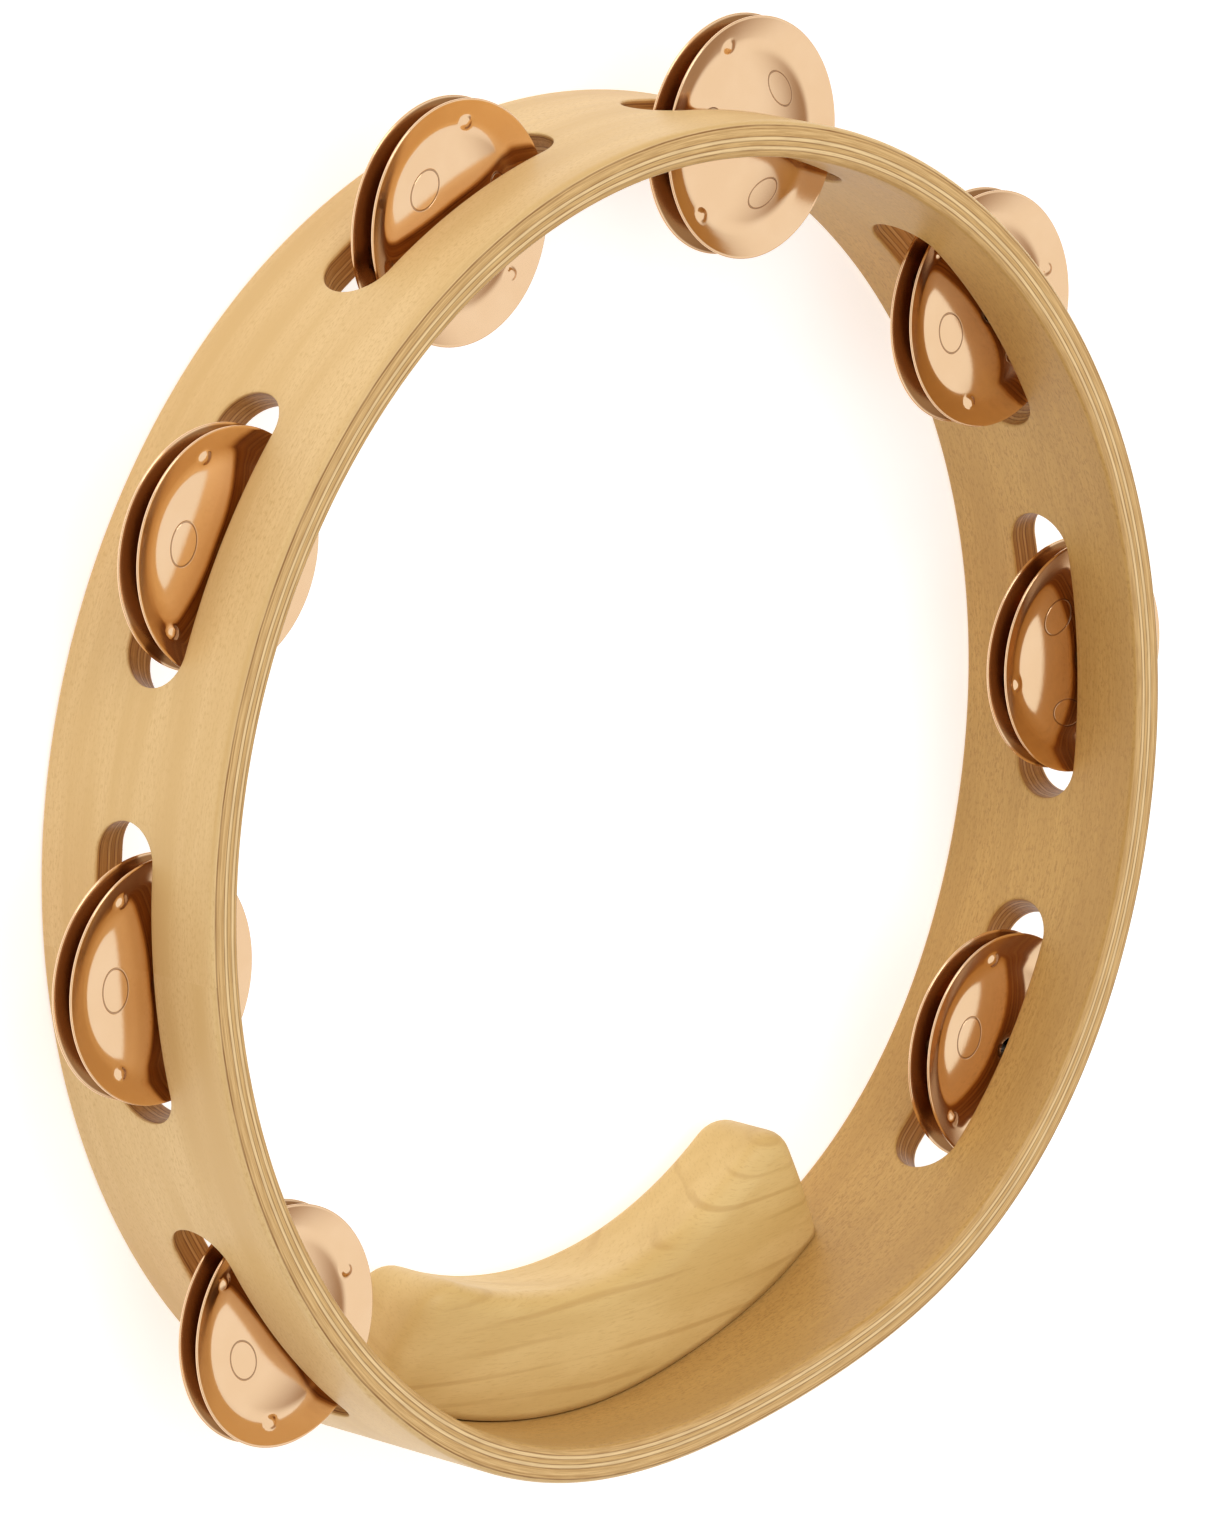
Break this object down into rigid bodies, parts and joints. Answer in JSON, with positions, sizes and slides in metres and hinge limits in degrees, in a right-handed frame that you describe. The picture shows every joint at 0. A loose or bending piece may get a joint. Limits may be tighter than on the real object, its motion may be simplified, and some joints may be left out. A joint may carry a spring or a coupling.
{
  "type": "headless tambourine",
  "caption": "Open wooden hoop with slots round its upper part, a pair of thin metal jingles loose on a pin in each slot, and a hollowed wooden hand grip glued inside.",
  "frame": {"origin": "on the plane of the back rim, under the middle of the whole object's bounding box; the hoop's axis passes through (0, -0.0081)", "axes": "+Z along the hoop's axis, out of its front rim; -Y towards the hand grip, +Y towards the middle of the row of jingles"},
  "size_m": [0.2917, 0.2611, 0.0436],
  "materials": {
    "birch_ply": "clear satin lacquer on bent plywood",
    "pale_maple": "sanded solid wood, clear satin lacquer",
    "polished_bronze": "polished copper-coloured bronze sheet",
    "pin_steel": "plain drawn wire"
  },
  "bodies": {
    "hoop": {"hoop_shell": "birch_ply", "hand_grip": "pale_maple", "pin_1": "pin_steel", "pin_2": "pin_steel", "pin_3": "pin_steel", "pin_4": "pin_steel", "pin_5": "pin_steel", "pin_6": "pin_steel", "pin_7": "pin_steel", "pin_8": "pin_steel"},
    "jingle_front_1": {"jingle_front_1": "polished_bronze"},
    "jingle_front_2": {"jingle_front_2": "polished_bronze"},
    "jingle_front_3": {"jingle_front_3": "polished_bronze"},
    "jingle_front_4": {"jingle_front_4": "polished_bronze"},
    "jingle_front_5": {"jingle_front_5": "polished_bronze"},
    "jingle_front_6": {"jingle_front_6": "polished_bronze"},
    "jingle_front_7": {"jingle_front_7": "polished_bronze"},
    "jingle_front_8": {"jingle_front_8": "polished_bronze"},
    "jingle_back_1": {"jingle_back_1": "polished_bronze"},
    "jingle_back_2": {"jingle_back_2": "polished_bronze"},
    "jingle_back_3": {"jingle_back_3": "polished_bronze"},
    "jingle_back_4": {"jingle_back_4": "polished_bronze"},
    "jingle_back_5": {"jingle_back_5": "polished_bronze"},
    "jingle_back_6": {"jingle_back_6": "polished_bronze"},
    "jingle_back_7": {"jingle_back_7": "polished_bronze"},
    "jingle_back_8": {"jingle_back_8": "polished_bronze"}
  },
  "joints": [
    {"name": "jingle_back_1_slide", "type": "slide", "parent": "hoop", "child": "jingle_back_1", "axis": [0, 0, 1], "range_m": [-0.0057, 0.0001]},
    {"name": "jingle_front_1_slide", "type": "slide", "parent": "jingle_back_1", "child": "jingle_front_1", "axis": [0, 0, 1], "range_m": [-0.0001, 0.0009]},
    {"name": "jingle_back_2_slide", "type": "slide", "parent": "hoop", "child": "jingle_back_2", "axis": [0, 0, 1], "range_m": [-0.0069, 0.0001]},
    {"name": "jingle_front_2_slide", "type": "slide", "parent": "jingle_back_2", "child": "jingle_front_2", "axis": [0, 0, 1], "range_m": [-0.0001, 0.0002]},
    {"name": "jingle_back_3_slide", "type": "slide", "parent": "hoop", "child": "jingle_back_3", "axis": [0, 0, 1], "range_m": [-0.0061, 0.0001]},
    {"name": "jingle_front_3_slide", "type": "slide", "parent": "jingle_back_3", "child": "jingle_front_3", "axis": [0, 0, 1], "range_m": [-0.0001, 0.0003]},
    {"name": "jingle_back_4_slide", "type": "slide", "parent": "hoop", "child": "jingle_back_4", "axis": [0, 0, 1], "range_m": [-0.0049, 0.0001]},
    {"name": "jingle_front_4_slide", "type": "slide", "parent": "jingle_back_4", "child": "jingle_front_4", "axis": [0, 0, 1], "range_m": [-0.0001, 0.0014]},
    {"name": "jingle_back_5_slide", "type": "slide", "parent": "hoop", "child": "jingle_back_5", "axis": [0, 0, 1], "range_m": [-0.0055, 0.0001]},
    {"name": "jingle_front_5_slide", "type": "slide", "parent": "jingle_back_5", "child": "jingle_front_5", "axis": [0, 0, 1], "range_m": [-0.0001, 0.0008]},
    {"name": "jingle_back_6_slide", "type": "slide", "parent": "hoop", "child": "jingle_back_6", "axis": [0, 0, 1], "range_m": [-0.0061, 0.0001]},
    {"name": "jingle_front_6_slide", "type": "slide", "parent": "jingle_back_6", "child": "jingle_front_6", "axis": [0, 0, 1], "range_m": [-0.0001, 0.0001]},
    {"name": "jingle_back_7_slide", "type": "slide", "parent": "hoop", "child": "jingle_back_7", "axis": [0, 0, 1], "range_m": [-0.0069, 0.0001]},
    {"name": "jingle_front_7_slide", "type": "slide", "parent": "jingle_back_7", "child": "jingle_front_7", "axis": [0, 0, 1], "range_m": [-0.0001, 0.0002]},
    {"name": "jingle_back_8_slide", "type": "slide", "parent": "hoop", "child": "jingle_back_8", "axis": [0, 0, 1], "range_m": [-0.0069, 0.0001]},
    {"name": "jingle_front_8_slide", "type": "slide", "parent": "jingle_back_8", "child": "jingle_front_8", "axis": [0, 0, 1], "range_m": [-0.0001, 0.0002]}
  ]
}
